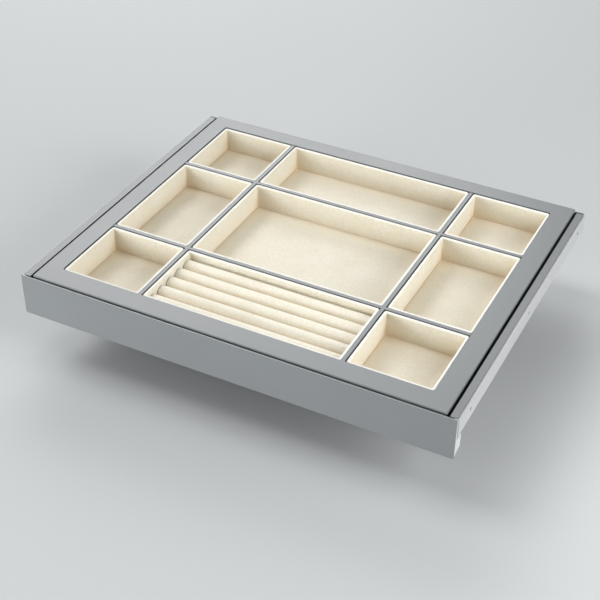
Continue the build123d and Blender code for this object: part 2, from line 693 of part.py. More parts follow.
def cabinet_member(name, side):
    """The fixed C-section of one slide, with lips that keep the balls in and holes for its screws."""
    top = SLIDE_TOP
    low = SLIDE_BOTTOM
    web = SLIDE_FACE - SLIDE_WALL
    lip = LIP_FACE + SLIDE_WALL
    with BuildPart() as member:
        with BuildSketch(across(REAR)) as section:
            outline([
                (SLIDE_FACE, low),
                (SLIDE_FACE, top),
                (LIP_FACE, top),
                (LIP_FACE, top - SLIDE_WALL - SLIDE_LIP),
                (lip, top - SLIDE_WALL - SLIDE_LIP),
                (lip, top - SLIDE_WALL),
                (web, top - SLIDE_WALL),
                (web, low + SLIDE_WALL),
                (lip, low + SLIDE_WALL),
                (lip, low + SLIDE_WALL + SLIDE_LIP),
                (LIP_FACE, low + SLIDE_WALL + SLIDE_LIP),
                (LIP_FACE, low),
            ], side)
            outer = section.vertices().group_by(Axis.X)[-1 if side > 0 else 0]
            fillet(outer, SLIDE_BEND)
        extrude(amount=SLIDE_LENGTH)
        with BuildSketch(along(side * SLIDE_FACE)):
            with Locations((FIXING_MIDDLE, SLIDE_MIDDLE)):
                with GridLocations(FIXING_PITCH, 1, FIXING_COUNT, 1):
                    Circle(FIXING_RADIUS)
        extrude(amount=-side * SLIDE_WALL, mode=Mode.SUBTRACT)
    save(member, name)


def drawer_member(name, side):
    """The moving channel of one slide, screwed to the side rail."""
    half = INNER_HEIGHT / 2
    web = RAIL_OUTER + SLIDE_WALL
    with BuildPart() as member:
        with BuildSketch(across(INNER_REAR)):
            outline([
                (RAIL_OUTER, SLIDE_MIDDLE - half),
                (INNER_FACE, SLIDE_MIDDLE - half),
                (INNER_FACE, SLIDE_MIDDLE - half + SLIDE_WALL),
                (web, SLIDE_MIDDLE - half + SLIDE_WALL),
                (web, SLIDE_MIDDLE + half - SLIDE_WALL),
                (INNER_FACE, SLIDE_MIDDLE + half - SLIDE_WALL),
                (INNER_FACE, SLIDE_MIDDLE + half),
                (RAIL_OUTER, SLIDE_MIDDLE + half),
            ], side)
        extrude(amount=INNER_REAR - INNER_FRONT)
        with BuildSketch(along(side * RAIL_OUTER)):
            with Locations(*[(y, SLIDE_MIDDLE) for y in SLIDE_SCREW_PLACES]):
                Circle(SCREW_RADIUS + SCREW_FIT)
            with Locations((LEVER_PIVOT_Y, SLIDE_MIDDLE)):
                Circle(RIVET_RADIUS + RIVET_FIT)
        extrude(amount=side * SLIDE_WALL, mode=Mode.SUBTRACT)
    save(member, name)


def ball_places(side):
    """Centres of the balls in one cage: an upper and a lower row."""
    first = CAGE_FRONT + (CAGE_LENGTH - BALL_PITCH * (BALLS_PER_ROW - 1)) / 2
    return [
        (side * BALL_X, first + BALL_PITCH * number, SLIDE_MIDDLE + lift)
        for lift in (-BALL_LIFT, BALL_LIFT)
        for number in range(BALLS_PER_ROW)
    ]


def ball_cage(name, side):
    """The thin channel that keeps the balls of one slide apart."""
    web = CAGE_FACE - CAGE_WALL
    high = BALL_LIFT + CAGE_ARM / 2
    low = BALL_LIFT - CAGE_ARM / 2
    with BuildPart() as cage:
        with BuildSketch(across(CAGE_FRONT + CAGE_LENGTH)):
            outline([
                (CAGE_EDGE, SLIDE_MIDDLE - high),
                (CAGE_FACE, SLIDE_MIDDLE - high),
                (CAGE_FACE, SLIDE_MIDDLE + high),
                (CAGE_EDGE, SLIDE_MIDDLE + high),
                (CAGE_EDGE, SLIDE_MIDDLE + low),
                (web, SLIDE_MIDDLE + low),
                (web, SLIDE_MIDDLE - low),
                (CAGE_EDGE, SLIDE_MIDDLE - low),
            ], side)
        extrude(amount=CAGE_LENGTH)
        with Locations(*ball_places(side)):
            Cylinder(BALL_RADIUS + BALL_FIT, 2 * CAGE_ARM, mode=Mode.SUBTRACT)
    save(cage, name)


def slide_balls(name, side):
    """The steel balls of one slide."""
    with BuildPart() as balls:
        with Locations(*ball_places(side)):
            Sphere(BALL_RADIUS)
    save(balls, name)


def slide_bumper(name, side):
    """The stop at the rear end of the cabinet member."""
    with BuildPart() as bumper:
        block(
            (side * LIP_FACE, side * (SLIDE_FACE - SLIDE_WALL)),
            (BUMPER_FRONT, REAR),
            (SLIDE_MIDDLE - BUMPER_HEIGHT / 2, SLIDE_MIDDLE + BUMPER_HEIGHT / 2),
        )
        fillet(bumper.edges().filter_by(Axis.X), BUMPER_RADIUS)
    save(bumper, name)


def release_lever(name, side):
    """The lever that frees the drawer from one slide. It turns on a rivet near its rear end."""
    back = RAIL_OUTER + SLIDE_WALL + LEVER_LIFT
    with BuildPart() as lever:
        with BuildSketch(along(side * back)):
            with Locations((LEVER_PIVOT_Y - LEVER_LENGTH / 2 + LEVER_HEIGHT / 2, SLIDE_MIDDLE)):
                SlotOverall(LEVER_LENGTH, LEVER_HEIGHT)
            with Locations((LEVER_PIVOT_Y, SLIDE_MIDDLE)):
                Circle(RIVET_RADIUS + RIVET_FIT, mode=Mode.SUBTRACT)
        extrude(amount=side * LEVER_THICKNESS)
    save(lever, name)


for name, side in SIDES.items():
    cabinet_member(f"cabinet_member_{name}", side)
    drawer_member(f"drawer_member_{name}", side)
    ball_cage(f"ball_cage_{name}", side)
    slide_balls(f"slide_balls_{name}", side)
    slide_bumper(f"slide_bumper_{name}", side)
    release_lever(f"release_lever_{name}", side)

with BuildPart() as lever_rivets:
    head = LEVER_LIFT * 2
    for side in SIDES.values():
        top = RAIL_OUTER + SLIDE_WALL + LEVER_LIFT + LEVER_THICKNESS + LEVER_LIFT
        with BuildSketch(along(side * RAIL_OUTER)):
            with Locations((LEVER_PIVOT_Y, SLIDE_MIDDLE)):
                Circle(RIVET_RADIUS)
        extrude(amount=side * (top - RAIL_OUTER))
        with BuildSketch(along(side * top)):
            with Locations((LEVER_PIVOT_Y, SLIDE_MIDDLE)):
                Circle(RIVET_RADIUS + LEVER_LIFT * 2)
        extrude(amount=side * head)
save(lever_rivets, "lever_rivets")
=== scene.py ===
"""The looks of a pull-out jewellery drawer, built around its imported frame.

The drawer slides out of a wardrobe: a coated metal front, frame and dividers, nine lift-out trays
lined in microsuede, five ring rolls and a ball-bearing slide on each side. The file is laid out as
an add-on, with its sizes and colours in property groups, and it runs as a script. Lengths are in
metres, X runs to the right, Y to the rear and Z up.
"""

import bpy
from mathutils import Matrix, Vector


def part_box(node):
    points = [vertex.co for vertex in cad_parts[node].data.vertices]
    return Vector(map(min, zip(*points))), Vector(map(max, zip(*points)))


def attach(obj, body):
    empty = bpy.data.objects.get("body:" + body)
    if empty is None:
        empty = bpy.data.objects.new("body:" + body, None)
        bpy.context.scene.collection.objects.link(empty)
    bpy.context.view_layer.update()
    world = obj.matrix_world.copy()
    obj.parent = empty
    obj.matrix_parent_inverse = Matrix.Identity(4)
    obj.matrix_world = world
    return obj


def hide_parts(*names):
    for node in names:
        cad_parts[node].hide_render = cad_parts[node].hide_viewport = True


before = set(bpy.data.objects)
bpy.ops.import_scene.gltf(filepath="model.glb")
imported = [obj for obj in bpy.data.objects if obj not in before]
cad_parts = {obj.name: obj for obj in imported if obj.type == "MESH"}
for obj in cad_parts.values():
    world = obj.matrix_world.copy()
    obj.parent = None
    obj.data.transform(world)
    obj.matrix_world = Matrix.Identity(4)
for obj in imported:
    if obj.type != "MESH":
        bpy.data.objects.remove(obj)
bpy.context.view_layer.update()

import math

import bpy
import numpy as np
from bpy.props import FloatProperty, FloatVectorProperty, IntProperty, PointerProperty
from bpy.types import Operator, Panel, PropertyGroup
from mathutils import Matrix, Quaternion, Vector

bl_info = {
    "name": "Jewellery Drawer",
    "version": (1, 0, 0),
    "blender": (4, 5, 0),
    "location": "View3D > Sidebar > Drawer",
    "description": "Lines, pads, finishes and lights a pull-out jewellery drawer",
    "category": "Object",
}

TRAYS = [name[len("tray_lining_"):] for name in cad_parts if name.startswith("tray_lining_")]
ROLLS = sorted(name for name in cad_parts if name.startswith("ring_roll_"))
SIDES = ("left", "right")
SHEETS = (
    "deck_plate", "long_divider_left", "long_divider_right", "cross_divider_front",
    "cross_divider_rear",
)

# Where each softbox hangs and how large it is, by the setting that holds its strength.
SOFTBOXES = {
    "right": ((1.15, -0.15, 0.62), (0.9, 0.9)),
    "front": ((-1.2, -1.5, 0.9), (1.2, 1.0)),
    "front_low": ((-0.9, -1.9, 0.30), (1.0, 0.5)),
    "right_low": ((1.7, -0.5, 0.30), (0.9, 0.5)),
    "top": ((-0.5, 0.3, 2.2), (0.8, 0.8)),
    "back": ((-1.6, 2.4, 1.9), (2.4, 1.6)),
    "left": ((-1.5, 1.2, 1.2), (1.2, 1.2)),
}
# The direction each even light comes from, by the setting that holds its strength.
EVEN_LIGHTS = {"high": (-1.0, 0.0, 1.2), "low": (1.0, 0.0, 0.45)}

# The part of a noise's range that is spread from 0 to 1: soft for clouding, crisp for fibres.
SOFT = (0.3, 0.7)
CRISP = (0.35, 0.65)

# First seeds of the soft pieces' unevenness. The linings are a step apart, and so are the rolls,
# since each draws several times.
LINING_SEED, PAD_SEED, ROLL_SEED, LOOSE_SEED = 100, 31, 500, 700
SEED_STEP = 10


# ---- Sizes and colours a user would change --------------------------------------------------

def a_length(name, default, description):
    """A setting that is a length in metres."""
    return FloatProperty(name=name, description=description, default=default, unit="LENGTH")


def a_power(name, default, description):
    """A setting that is a softbox's strength in watts."""
    return FloatProperty(name=name, description=description, default=default, unit="POWER")


def a_colour(name, default, description):
    """A setting that is a colour."""
    return FloatVectorProperty(
        name=name, description=description, subtype="COLOR", size=3, default=default,
        min=0.0, max=1.0,
    )


class CoatSettings(PropertyGroup):
    """The satin grey coat on the metal front, frame and dividers."""

    colour: a_colour("Colour", (0.239, 0.255, 0.263), "Colour of the coat")
    # Painted shade: the deck and dividers take a darker copy of the front's coat, for the light that
    # falls on them differently.
    sheet: FloatProperty(
        name="Sheet share", description="Brightness of the deck and dividers beside the front's",
        default=0.77, min=0.0, max=2.0,
    )
    # Painted shade: the side rails take a darker copy of the front's coat.
    rail: FloatProperty(
        name="Rail share", description="Brightness of the side rails beside the front's",
        default=0.72, min=0.0, max=2.0,
    )
    roughness: FloatProperty(
        name="Roughness", description="How soft its reflections are", default=0.38, min=0.0, max=1.0,
    )
    grain: a_length("Grain", 0.0007, "Size of the coat's fine texture")


class SuedeSettings(PropertyGroup):
    """The cream microsuede of the linings and rolls."""

    colour: a_colour("Colour", (0.907, 0.897, 0.828), "Colour of the brushed nap")
    deep: a_colour("Deep colour", (0.757, 0.694, 0.53), "Colour between the fibres")
    # Painted highlight: a paler colour along the rim's edge, where the light catches the fabric.
    edge: a_colour("Edge colour", (0.95, 0.935, 0.885), "Colour where it is stretched over an edge")
    # Painted shade: a warm, darker colour put in the trays' corners, along the feet of the walls and
    # in the grooves between the rolls.
    painted_shade_colour: a_colour("Nook colour", (0.774, 0.645, 0.462), "Colour where the nap is shut in")
    # Painted light: the rolls and the pad take a lighter copy of the linings' suede.
    lift: FloatProperty(
        name="Roll lift", description="Brightness of the rolls and pad beside the linings",
        default=1.09, min=0.0, max=2.0,
    )
    fibre: a_length("Fibre", 0.0009, "Size of the nap's finest mottle")


class FinishSettings(PropertyGroup):
    """The colours of the plated steel, the plastics and the boards."""

    zinc: a_colour("Zinc", (0.60, 0.61, 0.61), "Colour of the slides and brackets")
    cage: a_colour("Cage strip", (0.5, 0.5, 0.48), "Colour of the ball cages")
    balls: a_colour("Ball steel", (0.75, 0.75, 0.76), "Colour of the balls")
    screws: a_colour("Screw steel", (0.56, 0.56, 0.57), "Colour of the screws and rivets")
    pale: a_colour("Pale plastic", (0.66, 0.67, 0.67), "Colour of the front panel's end caps")
    black: a_colour("Black plastic", (0.02, 0.021, 0.022), "Colour of the rail caps and levers")
    board: a_colour("Board", (0.16, 0.165, 0.17), "Colour of the drawer box's boards")
    fibreboard: a_colour("Fibreboard", (0.42, 0.38, 0.31), "Colour of the tray boxes")


class LiningSettings(PropertyGroup):
    """The fabric folded over and into each tray."""

    wall: a_length("Wall", 0.0032, "Tray's outer face to the lined wall")
    floor: a_length("Floor", 0.0018, "Lined floor above the lining's lowest point")
    cloth: a_length("Cloth", 0.0008, "Thickness of the fabric")
    pucker: a_length("Pucker", 0.00035, "Depth of the folds at the corners")
    spacing: a_length("Spacing", 0.0022, "Distance between points along the walls")


class RollSettings(PropertyGroup):
    """The padded rolls that hold rings, and the pad under them."""

    edge: a_length("End edge", 0.0009, "Rounding where a roll's end meets its side")
    slack: a_length("Slack", 0.0005, "How much smaller a roll is cut than its place, all round")
    pressure: FloatProperty(
        name="Stuffing", description="Pressure that stuffs a roll", default=4.0, min=0.0,
    )
    ease: FloatProperty(
        name="Ease", description="Share by which the cover is cut loose", default=0.015, min=0.0,
        max=0.2,
    )
    cap: a_length("Most swelling", 0.0006, "How far stuffing may move a point")
    wrinkle: a_length("Wrinkle", 0.00012, "Height of the fabric's unevenness")
    columns: IntProperty(
        name="Columns", description="Points along a roll", default=150, min=20,
    )


class StageSettings(PropertyGroup):
    """The floor, the lamps and the camera."""

    drop: a_length("Floor drop", 0.06, "Floor below the drawer")
    floor: a_colour("Floor colour", (0.555, 0.573, 0.581), "Colour of the floor and backdrop")
    right: a_power("Right", 9.6, "Strength of the softbox on the right")
    front: a_power("Front", 8.4, "Strength of the softbox in front on the left")
    front_low: a_power("Front, low", 22.9, "Strength of the low softbox in front")
    right_low: a_power("Right, low", 1.2, "Strength of the low softbox on the right")
    top: a_power("Top", 5.8, "Strength of the softbox overhead")
    back: a_power("Back", 61.7, "Strength of the softbox far behind on the left")
    left: a_power("Left", 2.7, "Strength of the softbox behind on the left")
    high: FloatProperty(
        name="High", description="Strength of the even light from high on the left", default=0.89,
    )
    low: FloatProperty(
        name="Low", description="Strength of the even light from low on the right", default=0.71,
    )
    spread: FloatProperty(
        name="Spread", description="How wide the even lights' source looks",
        default=math.radians(25), subtype="ANGLE",
    )
    sky: FloatProperty(
        name="Sky", description="Strength of the light from all round", default=0.03,
    )
    camera: FloatVectorProperty(
        name="Camera", description="Place of the camera", subtype="TRANSLATION", size=3,
        default=(0.5825, -1.1954, 0.9580),
    )
    aim: FloatVectorProperty(
        name="Aim", description="Direction the camera looks in", subtype="DIRECTION", size=3,
        default=(-0.3603, 0.71576, -0.59822),
    )
    turn: FloatProperty(
        name="Turn", description="Turn of the camera about its own axis", default=math.radians(0.62),
        subtype="ANGLE",
    )
    lens: FloatProperty(
        name="Lens", description="Focal length in millimetres", default=76.69,
    )


class DrawerSettings(PropertyGroup):
    """All settings of the drawer's looks."""

    coat: PointerProperty(type=CoatSettings)
    suede: PointerProperty(type=SuedeSettings)
    finish: PointerProperty(type=FinishSettings)
    lining: PointerProperty(type=LiningSettings)
    roll: PointerProperty(type=RollSettings)
    stage: PointerProperty(type=StageSettings)


# ---- Materials ------------------------------------------------------------------------------

class Wire:
    """A socket in a material's nodes. Sums and products of wires are Math nodes."""

    def __init__(self, tree, socket=None):
        self.tree = tree
        self.socket = socket

    def node(self, kind, settings=None, sockets=None, output=0):
        """Adds a node of any kind. Its settings go in first, then its sockets' values or wires."""
        made = self.tree.nodes.new(kind)
        for name, value in (settings or {}).items():
            setattr(made, name, value)
        for name, value in (sockets or {}).items():
            if isinstance(value, Wire):
                self.tree.links.new(value.socket, made.inputs[name])
            else:
                made.inputs[name].default_value = value
        return Wire(self.tree, made.outputs[output] if len(made.outputs) else None)

    def maths(self, operation, first, second):
        """One Math node on two wires or numbers."""
        return self.node("ShaderNodeMath", {"operation": operation}, {0: first, 1: second})

    def __add__(self, other):
        return self.maths("ADD", self, other)

    def __radd__(self, other):
        return self.maths("ADD", other, self)

    def __mul__(self, other):
        return self.maths("MULTIPLY", self, other)

    def noise(self, size, detail=2.0, roughness=0.5):
        """Smooth noise about as large as size, read on this wire's coordinates."""
        sockets = {"Vector": self, "Scale": 1 / size, "Detail": detail, "Roughness": roughness}
        return self.node("ShaderNodeTexNoise", None, sockets)

    def stretched(self, scale):
        """These coordinates, scaled along each axis."""
        return self.node("ShaderNodeMapping", None, {"Vector": self, "Scale": scale})

    def contrast(self, low, high):
        """This value spread so that low becomes 0 and high becomes 1."""
        sockets = {"Value": self, "From Min": low, "From Max": high}
        return self.node("ShaderNodeMapRange", {"clamp": True}, sockets)

    def mix(self, first, second):
        """The first colour where this value is 0 and the second where it is 1."""
        factor, colour_a, colour_b, colour_out = 0, 6, 7, 2
        sockets = {factor: self}
        for place, colour in ((colour_a, first), (colour_b, second)):
            sockets[place] = colour if isinstance(colour, Wire) else (*colour, 1.0)
        return self.node("ShaderNodeMix", {"data_type": "RGBA"}, sockets, colour_out)


def new_finish(name):
    """A material with only a Principled shader, and a wire for its Object coordinates."""
    material = bpy.data.materials.new(name)
    material.use_nodes = True
    tree = material.node_tree
    shader = tree.nodes["Principled BSDF"]
    place = Wire(tree).node("ShaderNodeTexCoord", None, None, "Object")
    return material, shader, place


def connect(shader, **sockets):
    """Sets or links the shader's sockets: underscores in the names stand for spaces."""
    for name, value in sockets.items():
        socket = shader.inputs[name.replace("_", " ")]
        if isinstance(value, Wire):
            value.tree.links.new(value.socket, socket)
        else:
            socket.default_value = value


def bumped(height, distance, strength=1.0, under=None):
    """A Bump node of that height, in metres of relief, on top of another one if given."""
    sockets = {"Height": height, "Distance": distance, "Strength": strength}
    if under is not None:
        sockets["Normal"] = under
    return height.node("ShaderNodeBump", None, sockets)


def darker(colour, share):
    """A colour at that share of its brightness."""
    return tuple(channel * share for channel in colour)


def satin_coat(name, settings, share=1.0, cut=None):
    """Grey coat: fine orange peel, faint clouding and a slightly uneven sheen. A share below 1 makes
    a darker copy of it, a painted shade. A painted shadow line, near black, runs along the outer
    edge at the cut distance left and right of the middle, where only a shade gap would be."""
    material, shader, place = new_finish(name)
    # A share below 1 makes a darker copy of the coat, a painted shade.
    colour = darker(settings.colour, share)
    peel = place.noise(settings.grain, 3.0)
    cloud = place.noise(0.09, 3.0).contrast(*SOFT)
    speck = place.noise(settings.grain * 0.45, 1.0).contrast(*CRISP)
    tone = cloud * 0.6 + speck * 0.4
    colour = tone.mix(darker(colour, 0.965), darker(colour, 1.03))
    # Painted shadow line: the outer edge is painted near black where only a shadow gap would be.
    if cut is not None:
        across = place.node("ShaderNodeSeparateXYZ", None, {"Vector": place}, "X")
        outer = across.node("ShaderNodeMath", {"operation": "ABSOLUTE"}, {0: across})
        grey_to, shade_black_from, black = 0.00012, 0.00004, (0.02, 0.02, 0.021)
        colour = outer.contrast(cut - grey_to, cut - shade_black_from).mix(colour, black)
    connect(
        shader,
        Base_Color=colour,
        Roughness=settings.roughness - 0.03 + cloud * 0.04 + speck * 0.03,
        Metallic=0.0,
        Normal=bumped(peel, 0.00003, 0.5),
    )
    return material


def microsuede(name, settings, rim=None, lift=1.0):
    """Brushed nap: a fine mottle of light fibres over a deeper ground, with slow brush marks. A
    painted highlight makes it palest along the edge at the height of the rim, and a painted shade
    makes it warmer and darker where the mesh is marked for it, in corners and grooves. A lift
    above 1 makes a lighter copy of it, a painted light."""
    material, shader, place = new_finish(name)
    fibres = place.noise(settings.fibre, 3.0, 0.6).contrast(*CRISP)
    mottle = place.noise(settings.fibre * 3.2, 2.0).contrast(*CRISP)
    brushed = place.noise(0.03, 2.0, 0.45).contrast(*SOFT)
    tone = fibres * 0.5 + mottle * 0.3 + brushed * 0.2
    relief = bumped(mottle, 0.0002, 0.35)
    colour = tone.mix(darker(settings.deep, lift), darker(settings.colour, lift))
    painted_shade_mask = place.node("ShaderNodeAttribute", {"attribute_name": "shut_in"}, None, "Fac")
    # Painted shade: the nook colour is mixed in where the mesh is marked for it, in corners and
    # grooves.
    colour = (painted_shade_mask * (0.75 + brushed * 0.2)).mix(colour, settings.painted_shade_colour)
    # Painted highlight: the edge colour along the rim's edge, at the rim's height.
    if rim is not None:
        height = place.node("ShaderNodeSeparateXYZ", None, {"Vector": place}, "Z")
        highlight_to, highlight_from = 0.0022, 0.0006
        painted_highlight_mask = height.contrast(rim - highlight_to, rim - highlight_from)
        colour = (painted_highlight_mask * (0.85 + fibres * 0.15)).mix(colour, settings.edge)
    connect(
        shader,
        Base_Color=colour,
        Roughness=0.86 + fibres * 0.1,
        Sheen_Weight=0.6,
        Sheen_Roughness=0.4,
        Sheen_Tint=(1.0, 0.99, 0.97, 1.0),
        Specular_IOR_Level=0.2,
        Normal=bumped(fibres, 0.00018, 0.45, relief),
    )
    return material


def zinc_plate(name, colour, roughness, metallic):
    """Rolled and plated steel: fine lines along the sheet, soft spangle and small smears."""
    material, shader, place = new_finish(name)
    lines = place.stretched((1.0, 0.02, 1.0)).noise(0.0006, 3.0, 0.6).contrast(*SOFT)
    spangle = place.noise(0.006, 2.0).contrast(*CRISP)
    smear = place.stretched((1.0, 0.25, 1.0)).noise(0.03, 2.0).contrast(0.4, 0.7)
    tone = lines * 0.45 + spangle * 0.35 + smear * 0.2
    connect(
        shader,
        Base_Color=tone.mix(darker(colour, 0.9), darker(colour, 1.05)),
        Roughness=roughness + lines * 0.08 + smear * 0.08,
        Metallic=metallic,
        Normal=bumped(lines, 0.00003, 0.35),
    )
    return material


def moulded_plastic(name, colour, roughness):
    """Moulded plastic: a fine spark-eroded texture and faint flow marks."""
    material, shader, place = new_finish(name)
    texture = place.noise(0.0004, 2.0).contrast(*SOFT)
    flow = place.noise(0.012, 2.0).contrast(*SOFT)
    tone = texture * 0.5 + flow * 0.5
    connect(
        shader,
        Base_Color=tone.mix(darker(colour, 0.88), darker(colour, 1.08)),
        Roughness=roughness + texture * 0.08,
        Normal=bumped(texture, 0.00004, 0.4),
    )
    return material


def melamine_board(colour):
    """Fibreboard faced in dark grey melamine: a pressed pore texture and slight clouding."""
    material, shader, place = new_finish("melamine_board")
    pores = place.stretched((0.3, 1.0, 1.0)).noise(0.0009, 2.0).contrast(*CRISP)
    cloud = place.noise(0.05, 3.0).contrast(*SOFT)
    tone = pores * 0.5 + cloud * 0.5
    connect(
        shader,
        Base_Color=tone.mix(darker(colour, 0.88), darker(colour, 1.08)),
        Roughness=0.52 + pores * 0.12,
        Normal=bumped(pores, 0.00005, 0.4),
    )
    return material


def bare_fibreboard(colour):
    """Thin bare fibreboard: matted fibres, paler and darker flecks."""
    material, shader, place = new_finish("bare_fibreboard")
    fleck = place.stretched((1.0, 0.4, 1.6)).noise(0.0013, 4.0, 0.65).contrast(0.32, 0.68)
    patch = place.noise(0.02, 3.0).contrast(*SOFT)
    tone = fleck * 0.65 + patch * 0.35
    connect(
        shader,
        Base_Color=tone.mix(darker(colour, 0.72), darker(colour, 1.15)),
        Roughness=0.78 + fleck * 0.12,
        Normal=bumped(fleck, 0.00012, 0.5),
    )
    return material


def polished_steel(name, colour):
    """Oiled bearing steel: nearly a mirror, with thin films of grease."""
    material, shader, place = new_finish(name)
    film = place.noise(0.0016, 2.0).contrast(*CRISP)
    connect(
        shader,
        Base_Color=film.mix(darker(colour, 0.92), colour),
        Roughness=0.12 + film * 0.16,
        Metallic=1.0,
        Normal=bumped(film, 0.00001, 0.3),
    )
    return material


def give(nodes, material):
    """Gives CAD nodes their finish, in place of the plain one they came with."""
    for name in nodes:
        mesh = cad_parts[name].data
        mesh.materials.clear()
        mesh.materials.append(material)


# ---- Shapes ---------------------------------------------------------------------------------

def wander(places, size, seed, waves=28):
    """Smooth noise with a spread of 1: a sum of plane waves in random directions, each about
    size long, at the given places."""
    draw = np.random.default_rng(seed)
    directions = draw.normal(size=(waves, 3))
    directions /= np.linalg.norm(directions, axis=1)[:, None]
    lengths = size * draw.uniform(0.7, 1.7, size=waves)
    phases = draw.uniform(0, 2 * math.pi, size=waves)
    waves_at = np.sin(places @ (directions * (2 * math.pi / lengths)[:, None]).T + phases)
    return waves_at.sum(axis=-1) / math.sqrt(waves / 2)


def round_loop(half_x, half_y, spacing, corner_points=6):
    """Columns of a rounded rectangle, counterclockwise from the start of its rear right corner.
    Each column is a point on the rectangle's core, from -1 to 1 each way, and the outward
    direction there, so a loop of any size is core * (half - radius) + radius * direction."""
    up = max(4, int(2 * half_y / spacing))
    over = max(4, int(2 * half_x / spacing))
    turn = np.linspace(0, math.pi / 2, corner_points + 1)
    corners = ((1, 1), (-1, 1), (-1, -1), (1, -1))
    cores, angles = [], []
    for number, count in enumerate((over, up, over, up)):
        corner, following = corners[number], corners[(number + 1) % 4]
        cores.append(np.tile(corner, (len(turn), 1)))
        angles.append(number * math.pi / 2 + turn)
        run = np.linspace(0, 1, count + 1)[1:-1, None]
        cores.append((1 - run) * np.array(corner) + run * np.array(following))
        angles.append(np.full(len(run), (number + 1) * math.pi / 2))
    core, angle = np.concatenate(cores), np.concatenate(angles)
    return core, np.stack([np.cos(angle), np.sin(angle)], axis=1)


def grid_faces(rows, columns):
    """Quads of a grid whose columns close on themselves."""
    row, column = np.meshgrid(np.arange(rows - 1), np.arange(columns), indexing="ij")
    following = (column + 1) % columns
    corners = (row, column), (row, following), (row + 1, following), (row + 1, column)
    return np.stack([r * columns + c for r, c in corners], axis=-1).reshape(-1, 4)


def pole_faces(first, columns, pole, outward=True):
    """Triangles from a ring of points to the point at its middle."""
    column = first + np.arange(columns)
    following = first + (np.arange(columns) + 1) % columns
    ring = (column, following) if outward else (following, column)
    return np.stack([*ring, np.full(columns, pole)], axis=1)


def add_piece(name, points, faces, material, body):
    """A smooth mesh piece that rides on a body and takes the slot's finish."""
    mesh = bpy.data.meshes.new(name)
    mesh.from_pydata(points.tolist(), [], faces)
    mesh.polygons.foreach_set("use_smooth", np.ones(len(mesh.polygons), dtype=bool))
    mesh.materials.append(material)
    mesh.update()
    piece = bpy.data.objects.new(name, mesh)
    bpy.context.scene.collection.objects.link(piece)
    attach(piece, body)
    return piece


def mark_painted_shade(piece, share):
    """Stores on each point of a fabric piece how much painted shade it takes, from 0 in the open to
    1.
    """
    marks = piece.data.attributes.new("shut_in", "FLOAT", "POINT")
    marks.data.foreach_set("value", np.clip(share, 0, 1))


def tray_shade_paint(points, low, high, settings):
    """How much painted shade each point of a tray's lining takes, by how shut in it is: its nearness
    to two walls, or to a wall and the floor, multiplied and added up, with a wider share on the
    floor. Nearness falls off over the reach, and the top is open, so the shade fades to the rim."""
    reach, wide = 0.008, 0.035
    edge_share, wide_share = 0.4, 0.3
    centre = np.array([(low[0] + high[0]) / 2, (low[1] + high[1]) / 2])
    half = np.array([high[0] - low[0], high[1] - low[1]]) / 2 - settings.wall
    floor = low[2] + settings.floor
    off = np.maximum(half - np.abs(points[:, :2] - centre), 0)
    near_x, near_y = np.exp(-off / reach).T
    near_floor = np.exp(-np.maximum(points[:, 2] - floor, 0) / reach)
    open_top = np.clip((high[2] - points[:, 2]) / (high[2] - floor), 0, 1) ** 0.5
    around = wide_share * np.exp(-off / wide).sum(axis=1)
    on_floor = edge_share * (near_x + near_y) + around
    return (near_x * near_y + on_floor * near_floor) * open_top


def lining_profile(top, floor, wall, half):
    """Rows of the lining from the rim's outer edge to the middle of the floor, as how far each is
    drawn in, how high it is and how soft it is. The fabric rounds the rim's outer edge and its
    inner edge, drops down the wall, tucks under the edge of the floor and comes up round it."""
    # The radii of the rim's outer and inner edges and of the floor's edge. Then how far the hem
    # lies below the rim, the wall's end below the floor, and the floor's fold off the wall.
    outer, inner, edge = 0.0009, 0.0012, 0.0008
    hem, tuck, gap = 0.00098, 0.0006, 0.00025
    arc = np.linspace(0, math.pi / 2, 7)
    rim_out = np.stack([outer * (1 - np.cos(arc)), top - outer * (1 - np.sin(arc))], axis=1)
    rim_in = np.stack([wall - inner * (1 - np.sin(arc)), top - inner * (1 - np.cos(arc))], axis=1)
    drop = np.linspace(top - inner, floor - tuck, 17)[1:]
    face = np.stack([np.full(len(drop), wall), drop], axis=1)
    start = wall + gap
    fold = np.stack([start + edge * (1 - np.cos(arc)), floor - edge * (1 - np.sin(arc))], axis=1)
    reach = start + edge + (half - start - edge) * np.linspace(0, 1, 26)[1:-1] ** 1.35
    middle = np.stack([reach, np.full(len(reach), floor)], axis=1)
    rows = np.concatenate([[[0.0, top - hem]], rim_out, rim_in, face, fold, middle])
    kinds = np.repeat([0, 1, 2], [1 + len(rim_out) + len(rim_in), len(face) + len(fold), len(middle)])
    return rows[:, 0], rows[:, 1], kinds


